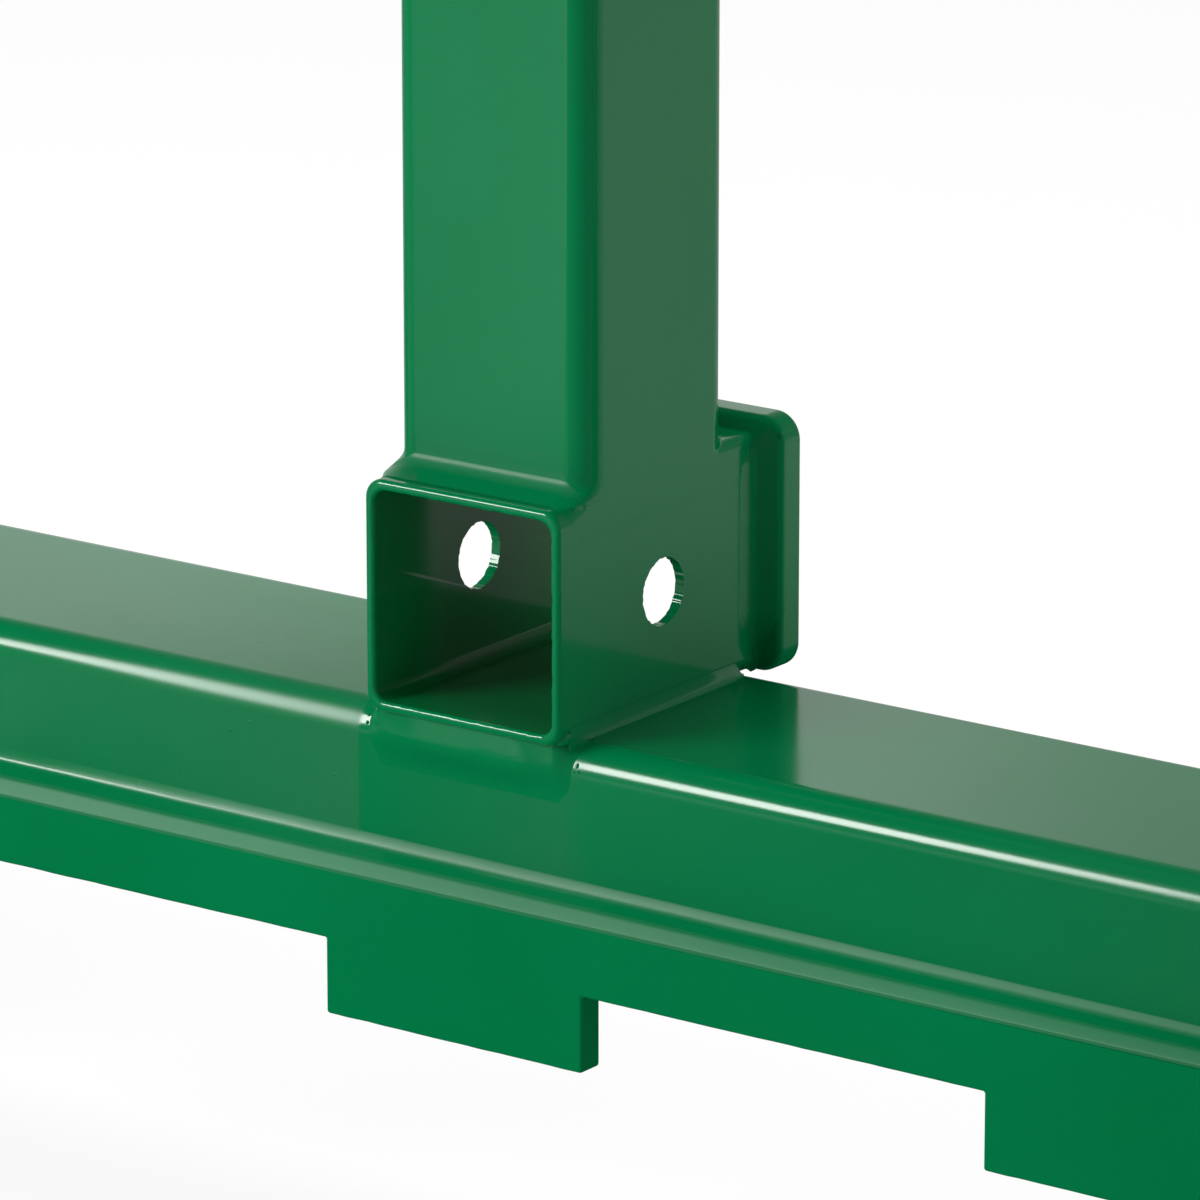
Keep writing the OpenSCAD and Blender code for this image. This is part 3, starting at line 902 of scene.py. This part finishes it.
lipWeld = {
    # distance down from the lip, distance in front of the rail's face, in mm
    "profile": [
        (-0.8, 2.1), (0.4, 2.2), (2, 2.4), (4, 2.62), (5.8, 2.78), (7, 2.72), (8.6, 2.25), (10.4, 1.35),
        (12.2, 0.5), (13.6, 0.12), (15, -0.03),
    ],
    "blur": 0.0012,
    # the rest is in metres but for the lists below; between these distances from the middle it meets the rail
    "fade": (0.0262, 0.0330),
    "pastFade": 0.0004,
    "tuck": 0.0003,
    # where it gets thinner, and the share that it loses
    "thin": (0.014, 0.029, 0.50),
    # it rises with the receiver's round corner, then falls to the rail
    "lift": 0.0022,
    "liftFrom": 0.025,
    "liftReach": 0.0048,
    "liftFade": (0.0280, 0.0312),
    "dip": 0.0004,
    "dipFade": (0.0290, 0.0320),
    "grid": (320, 44),
    "wall": 0.0006,
    "rough": 0.00010,
    # fills the hollow under the receiver's lower corners: place, radius, shape
    "corner": ((0.0286, 0.4819, 0.1616), 0.0019, (0.70, 1.5, 1.05)),
    # spatter on the rail's face: x, z, radius, in mm
    "spatter": [
        (-76.4, 145.4, 0.45), (-69.9, 148.7, 0.35), (-73.0, 142.2, 0.3), (-42.7, 139.5, 0.4),
        (-37.9, 138.6, 0.3), (-40.2, 141.6, 0.25), (52.0, 134.0, 0.3),
    ],
    "spatterShape": (1, 0.5, 1),
    # glossy drops at the weld's two ends: x, distance down from the rail's top, radius, in mm
    "drops": [(-32.7, 4.9, 0.50), (-33.0, 3.3, 0.40), (32.5, 4.7, 0.65), (33.3, 5.9, 0.40), (31.7, 6.3, 0.35)],
    "dropShape": (1, 1, 1.2),
    # shares of its radius by which a drop is sunk and hangs down
    "dropSunk": 0.4,
    "dropHangs": 0.25,
}


# The profile's depth in metres, at a distance down in metres
def lipDepth(down):
    points = lipWeld["profile"]
    down = max(points[0][0], min(points[-1][0], down * 1000))
    for (fromDown, fromDepth), (toDown, toDepth) in zip(points, points[1:]):
        if fromDown <= down <= toDown:
            share = (down - fromDown) / (toDown - fromDown)
            return (fromDepth + (toDepth - fromDepth) * share) / 1000


def makeLipWeld():
    railLow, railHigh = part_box("lower_rail")
    first, last = lipWeld["profile"][0][0] / 1000, lipWeld["profile"][-1][0] / 1000
    width = lipWeld["fade"][1] + lipWeld["pastFade"]
    thinFrom, thinTo, thinning = lipWeld["thin"]

    def place(u, v):
        x = (u * 2 - 1) * width
        side = abs(x)
        past = min(max(0.0, side - lipWeld["liftFrom"]), lipWeld["liftReach"])
        top = min(lipWeld["lift"], roundInset(past, receiver["corner"]))
        top *= 1 - easeStep(side, *lipWeld["liftFade"])
        top -= lipWeld["dip"] * easeStep(side, *lipWeld["dipFade"])
        down = first - top + (last - first + top) * v
        z = railHigh.z - down
        above = max(0.0, z - (railHigh.z - rail["corner"]))
        inset = roundInset(min(above, rail["corner"] - sameSpot), rail["corner"])
        front = sum(lipDepth(down + shift * lipWeld["blur"]) for shift in (-1, 0, 1)) / 3
        front *= 1 - thinning * easeStep(side, thinFrom, thinTo)
        share = 1 - easeStep(side, *lipWeld["fade"])
        return x, railLow.y + (inset + lipWeld["tuck"]) * (1 - share) - front * share, z

    bead = makeBead("receiverLipWeld", lipWeld["grid"], place, (0, -1, 0), lipWeld["rough"], wall=lipWeld["wall"])
    drops = []
    for x, down, radius in lipWeld["drops"]:
        down, radius = down / 1000, radius / 1000
        inset = roundInset(max(0.0, rail["corner"] - down), rail["corner"])
        y = railLow.y + inset + radius * lipWeld["dropSunk"]
        z = railHigh.z - down - radius * lipWeld["dropHangs"]
        drops.append(makeDrop((x / 1000, y, z), radius, lipWeld["dropShape"]))
    (x, y, z), radius, shape = lipWeld["corner"]
    drops += [makeDrop((side * x, y, z), radius, shape) for side in (-1, 1)]
    for x, z, radius in lipWeld["spatter"]:
        spot = (x / 1000, railLow.y + sameSpot, z / 1000)
        drops.append(makeDrop(spot, radius / 1000, lipWeld["spatterShape"]))
    joined = joinPieces([bead] + drops, "receiverLipWeld")
    finishPiece(joined, ["receiver_front_weld"], tubePaint)


makeLipWeld()
print("receiver ready")

# the posts
post = {"corner": 0.007, "steps": 14}


def makePost(node, name):
    low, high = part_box(node)
    tube = addRoundBlock(name, low, high, zAxis, post["corner"], post["steps"])
    shadePiece(tube)
    finishPiece(tube, [node], tubePaint)


makePost("centre_post", "centrePost")
makePost("left_end_post", "leftEndPost")
makePost("right_end_post", "rightEndPost")

footWeld = {
    # distance along the profile in mm, face angle, from the post's face down to the receiver's lip
    "turns": [(0, 90), (1.6, 86), (3.4, 58), (4.8, 40), (6.5, 28), (13.5, 20)],
    "forward": 0.0102,
    "height": 0.0060,
    "footCorner": 0.0085,
    # shares of the bead's half length at which its front face and its corner end, and its reach behind the face
    "frontShare": 0.6,
    "cornerShare": 0.85,
    "sideReach": 0.012,
    "wedgeGrid": (160, 30),
    "wedgeWall": 0.004,
    # the skin's box: above and below the receiver's top, behind the mouth and past the receiver's end
    "up": 0.016,
    "down": 0.015,
    "front": 0.003,
    "back": 0.002,
    "border": 0.0006,
    "stubDown": 0.010,
    # under the weld the receiver's round edges fill up step by step: start, end, corner, height above the receiver
    "blocks": [
        (0.0030, 0.087, 0.005, 0),
        (0.0055, 0.080, 0.004, 0),
        (0.0075, 0.080, 0.003, 0),
        (0.0095, 0.080, 0.002, 0),
        (0.0115, 0.080, 0.001, 0),
        (0.0600, 0.087, 0.0025, 0.0030),
    ],
    "blockSteps": 8,
    "grain": 0.0005,
    "rounds": 14,
    # the skin stands proud of the tubes in its middle and sinks into them between these distances from its edges
    "proud": 0.00003,
    "sunk": 0.00003,
    "edgeFade": (0.0010, 0.0095),
    # only the bead is lumpy: the lumps fade out between these distances behind the post's face
    "lumpFade": (-0.003, 0.001),
    "lumpSize": 0.007,
    "rough": 0.00007,
    "wall": 0.0004,
}


# The weld at the post's foot: stubs of post and receiver and the bead, melted into one skin
def makeFootWeld():
    low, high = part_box("centre_post")
    tubeLow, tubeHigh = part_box("receiver_tube")
    half = high.x
    # each point is forward and down
    profile = walkProfile(footWeld["turns"], (0.0, 0.0), (footWeld["forward"], footWeld["height"]))
    top, bottom = low.z + footWeld["up"], low.z - footWeld["down"]
    front, back = tubeLow.y + footWeld["front"], tubeHigh.y + footWeld["back"]
    frontShare, cornerShare = footWeld["frontShare"], footWeld["cornerShare"]

    def place(u, v):
        forward, down = alongProfile(profile, v)
        corner = post["corner"] + (footWeld["footCorner"] - post["corner"]) * (down / footWeld["height"])
        y = low.y - forward
        spot, side = abs(u * 2 - 1), 1 if u > 0.5 else -1
        if spot < frontShare:
            x = spot / frontShare * (half - corner)
        elif spot < cornerShare:
            angle = (spot - frontShare) / (cornerShare - frontShare) * math.pi / 2
            x, y = half - corner + corner * math.sin(angle), y + corner - corner * math.cos(angle)
        else:
            straight = low.y + footWeld["sideReach"] - y - corner
            x, y = half, y + corner + straight * (spot - cornerShare) / (1 - cornerShare)
        return side * x, y, low.z + footWeld["height"] - down

    stubLow, stubHigh = (low.x, low.y, low.z - footWeld["stubDown"]), (high.x, high.y, top)
    pieces = [addRoundBlock("stub", stubLow, stubHigh, zAxis, post["corner"], post["steps"])]
    for start, end, corner, above in footWeld["blocks"]:
        start, end, above = tubeLow.y + start, tubeLow.y + end, low.z + above
        block = addBlock("base", (tubeLow.x, start, bottom), (tubeHigh.x, end, above))
        startEdit(block)
        pickEdges(block, lambda place, way, above=above: abs(way.y) > 0.9 and place.z > above - 0.001)
        bpy.ops.mesh.bevel(offset=corner, segments=footWeld["blockSteps"], profile=0.5)
        endEdit()
        pieces.append(block)
    pieces.append(makeBead("wedge", footWeld["wedgeGrid"], place, (0, -1, 1), wall=footWeld["wedgeWall"]))
    skin = joinPieces(pieces, "postFootWeld")
    useModifier(skin, "REMESH", mode="VOXEL", voxel_size=footWeld["grain"])
    useModifier(skin, "SMOOTH", factor=0.5, iterations=footWeld["rounds"])
    border = footWeld["border"]

    def hidden(place, normal):
        ends = place.z > top - border or place.y < front + border or place.y > back - border
        return place.z < bottom + border or (ends and max(abs(normal.z), abs(normal.y)) > 0.5)

    deleteFaces(skin, hidden)  # only the outer skin is kept
    lumpFrom, lumpTo = footWeld["lumpFade"]
    shifts = []
    for vertex in skin.data.vertices:
        v = vertex.co
        edge = min(top - v.z, v.z - bottom, v.y - front, back - v.y)
        sink = 1 - easeStep(edge, *footWeld["edgeFade"])
        onWeld = 1 - easeStep(v.y, low.y + lumpFrom, low.y + lumpTo)
        shift = footWeld["proud"] * (1 - sink) - footWeld["sunk"] * sink
        shift += onWeld * (1 - sink) * wobble(v, footWeld["lumpSize"], footWeld["rough"])
        shifts.append(vertex.normal * shift)
    for vertex, shift in zip(skin.data.vertices, shifts):
        vertex.co += shift
    useModifier(skin, "SOLIDIFY", thickness=footWeld["wall"], offset=-1.0)
    shadeSmooth(skin, shading["beadAngle"])
    finishPiece(skin, ["post_foot_weld"], footPaint)


makeFootWeld()

# ends: the bead's size there, and the share of its length over which it grows to full size
headWeld = {"down": 0.006, "out": 0.005, "ends": (0.2, 0.1), "grid": (60, 12), "rough": 0.0002}


def makeHeadWeld():
    low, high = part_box("centre_post")
    least, ease = headWeld["ends"]
    pieces = []
    for side in (-1, 1):

        def place(u, v, side=side):
            y = low.y + post["corner"] + (high.y - low.y - 2 * post["corner"]) * u
            size = least + (1 - least) * easeStep(u, 0, ease) * easeStep(1 - u, 0, ease)
            out, down = filletPoint(v, headWeld["down"] * size, headWeld["out"] * size)
            return side * (high.x + out), y, high.z - down

        pieces.append(makeBead("head", headWeld["grid"], place, (side, 0, -1), headWeld["rough"]))
    joined = joinPieces(pieces, "postHeadWeld")
    finishPiece(joined, ["post_head_weld"], headPaint)


makeHeadWeld()
print("posts ready")

# plain pieces: a merged copy of the solid with softened edges, of these widths
softEdges = {
    "green": 0.0012,
    "bar": 0.0004,
    "fork": 0.0030,
    "hook": 0.0020,
    "pin": 0.0006,
    "steps": 3,
    "sharpAngle": 50,
    "mergeWithin": 0.000002,
    "flatWithin": 0.4,
}


def softenNode(node, name, width, material):
    deselectAll()
    piece = bpy.data.objects.new(name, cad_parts[node].data.copy())
    bpy.context.scene.collection.objects.link(piece)
    startEdit(piece, "VERT")
    bpy.ops.mesh.select_all(action="SELECT")
    bpy.ops.mesh.customdata_custom_splitnormals_clear()
    bpy.ops.mesh.remove_doubles(threshold=softEdges["mergeWithin"])
    bpy.ops.mesh.dissolve_limited(angle_limit=math.radians(softEdges["flatWithin"]))
    endEdit()
    bevelSharp(piece, width, softEdges["steps"], softEdges["sharpAngle"])
    shadePiece(piece)
    finishPiece(piece, [node], material)


for side in ("left", "right"):
    greenNodes = [(f"{height}_{side}_end_cap", f"{height}{side.title()}EndCap") for height in ("lower", "top")]
    greenNodes += [(f"{side}_{place}_ear", f"{side}{place.title()}Ear") for place in ("inner", "outer")]
    for node, name in greenNodes:
        softenNode(node, name, softEdges["green"], tubePaint)
    softenNode(f"{side}_hook_bar", f"{side}HookBar", softEdges["bar"], tubePaint)
    softenNode(f"{side}_fork", f"{side}Fork", softEdges["fork"], forkPaint)
    softenNode(f"{side}_top_hook", f"{side}TopHook", softEdges["hook"], forkPaint)
    softenNode(f"{side}_bottom_hook", f"{side}BottomHook", softEdges["hook"], forkPaint)
    softenNode(f"{side}_lock_pin", f"{side}LockPin", softEdges["pin"], zincPlate)
softenNode("top_notched_bar", "topNotchedBar", lowerBar["edge"], tubePaint)
print("plain pieces ready")

# floor, light and camera
studio = {
    "floorSize": 60,
    "floorHeight": -0.0005,
    "floorColour": (0.66, 0.67, 0.66, 1),
    # the studio's lit floor beyond what these lamps reach
    "floorBounce": 0.25,
    # what the camera sees of the floor: colour, glow and the glow's share
    "paleColour": (0.8, 0.8, 0.8, 1),
    "floorGlow": 1.04,
    "floorShare": 0.8,
    "carriageY": 0.5,
    # compass angle round the carriage (0 is the front, 90 the right end), brightness in reflections
    "floorMirror": [
        (-180, 0.50), (-120, 0.45), (-80, 0.20), (-45, 0.10), (-39, 0.36), (-29, 0.75), (-24, 0.5), (-17, 0.06),
        (60, 0.04), (105, 0.25), (130, 0.50), (180, 0.50),
    ],
    # close to the carriage the floor lies in its shade: distances between which the reflection fades in
    "floorFade": (0.38, 0.90),
    "roomLight": 0.44,
    "roomMirror": [
        (-180, 0.40), (-147.2, 0.47), (-146.2, 0.78), (-110, 0.76), (-85, 0.10), (60, 0.06), (110, 0.16),
        (150, 0.24), (180, 0.40),
    ],
    # the white sheets fade from 16 to 46 degrees up: sines of those heights, then strength below and above
    "roomFade": (0.28, 0.72, 1.0, 0.07),
}


# Brightness by compass angle, from a list of angles and levels
def addCompass(tree, x, y, levels):
    angle = addMath(tree, "ARCTAN2", x, addMath(tree, "MULTIPLY", y, -1.0))
    share = addMath(tree, "ADD", addMath(tree, "DIVIDE", angle, 2 * math.pi), 0.5)
    return addLevels(tree, share, [(degrees / 360 + 0.5, level) for degrees, level in levels])


# One shader lights the scene, one shows in reflections and one is seen behind the object
def addByRay(tree, outputKind, plain, mirror, seen):
    light = addNode(tree, "ShaderNodeLightPath").outputs
    for ray, shader in (("Is Glossy Ray", mirror), ("Is Camera Ray", seen)):
        inputs = {"Fac": light[ray], 1: plain.outputs[0], 2: shader.outputs[0]}
        plain = addNode(tree, "ShaderNodeMixShader", inputs)
    addNode(tree, outputKind, {"Surface": plain.outputs[0]})


def makeFloor():
    deselectAll()
    bpy.ops.mesh.primitive_plane_add(size=studio["floorSize"], location=(0, 0, studio["floorHeight"]))
    floor = bpy.context.object
    floor.name = "floor"
    material = bpy.data.materials.new("paleFloor")
    material.use_nodes = True
    tree = material.node_tree
    tree.nodes.clear()
    paint = addNode(tree, "ShaderNodeBsdfDiffuse", {"Color": studio["floorColour"]})
    bounce = addNode(tree, "ShaderNodeEmission", {"Strength": studio["floorBounce"]})
    plain = addNode(tree, "ShaderNodeAddShader", {0: paint.outputs[0], 1: bounce.outputs[0]})
    pale = addNode(tree, "ShaderNodeBsdfDiffuse", {"Color": studio["paleColour"]})
    glow = addNode(tree, "ShaderNodeEmission", {"Strength": studio["floorGlow"]})
    inputs = {"Fac": studio["floorShare"], 1: pale.outputs[0], 2: glow.outputs[0]}
    seen = addNode(tree, "ShaderNodeMixShader", inputs)
    place = splitPlace(tree, addNode(tree, "ShaderNodeTexCoord").outputs["Object"])
    fromCarriage = addMath(tree, "SUBTRACT", place["Y"], studio["carriageY"])
    squares = [addMath(tree, "POWER", part, 2.0) for part in (place["X"], fromCarriage)]
    distance = addMath(tree, "SQRT", addMath(tree, "ADD", *squares))
    fade = addRange(tree, distance, *studio["floorFade"], kind="SMOOTHSTEP")
    level = addCompass(tree, place["X"], fromCarriage, studio["floorMirror"])
    mirror = addNode(tree, "ShaderNodeEmission", {"Color": level, "Strength": fade})
    addByRay(tree, "ShaderNodeOutputMaterial", plain, mirror, seen)
    floor.data.materials.append(material)


makeFloor()


def makeRoom():
    world = bpy.data.worlds.new("studioRoom")
    bpy.context.scene.world = world
    world.use_nodes = True
    tree = world.node_tree
    tree.nodes.clear()
    white = (1, 1, 1, 1)
    soft = addNode(tree, "ShaderNodeBackground", {"Color": white, "Strength": studio["roomLight"]})
    seen = addNode(tree, "ShaderNodeBackground", {"Color": white, "Strength": 1.0})
    place = splitPlace(tree, addNode(tree, "ShaderNodeTexCoord").outputs["Generated"])
    level = addCompass(tree, place["X"], place["Y"], studio["roomMirror"])
    fade = addRange(tree, place["Z"], *studio["roomFade"], kind="SMOOTHSTEP")
    mirror = addNode(tree, "ShaderNodeBackground", {"Color": level, "Strength": fade})
    addByRay(tree, "ShaderNodeOutputWorld", soft, mirror, seen)


makeRoom()

lamps = {
    # place, target, width, height, watts, shows in reflections
    "strip": ((-0.91, -0.68, 0.87), (0.0, 0.49, 0.16), 0.66, 0.50, 19.0, True),
    "softTop": ((-0.5, 0.7, 2.6), (0.0, 0.45, 0.2), 1.6, 1.6, 44.0, False),
    "softRight": ((1.25, 1.35, 0.6), (0.0, 0.5, 0.2), 0.9, 0.9, 5.0, False),
}


def makeLamps():
    for name, (place, target, width, height, watts, mirrored) in lamps.items():
        data = bpy.data.lights.new(name, "AREA")
        data.shape = "RECTANGLE"
        data.size, data.size_y = width, height
        data.energy = watts
        lamp = bpy.data.objects.new(name, data)
        bpy.context.scene.collection.objects.link(lamp)
        lamp.location = place
        lamp.rotation_euler = (Vector(target) - Vector(place)).to_track_quat("-Z", "Y").to_euler()
        lamp.visible_glossy = mirrored
        lamp.visible_camera = False


makeLamps()

view = {
    "place": (1.16155913, -1.05680007, 0.73988228),
    "turn": 36.10550720,
    "down": 15.85743157,
    "lens": 243.10115662,
    "sensor": 36,
    "clip": (0.05, 200),
}


def makeCamera():
    data = bpy.data.cameras.new("photoCamera")
    camera = bpy.data.objects.new("photoCamera", data)
    bpy.context.scene.collection.objects.link(camera)
    data.sensor_width = view["sensor"]
    data.lens = view["lens"]
    data.clip_start, data.clip_end = view["clip"]
    camera.location = view["place"]
    camera.rotation_euler = (math.radians(90 - view["down"]), 0, math.radians(view["turn"]))
    bpy.context.scene.camera = camera


makeCamera()
bpy.context.scene.view_settings.view_transform = "Standard"
print("studio ready")
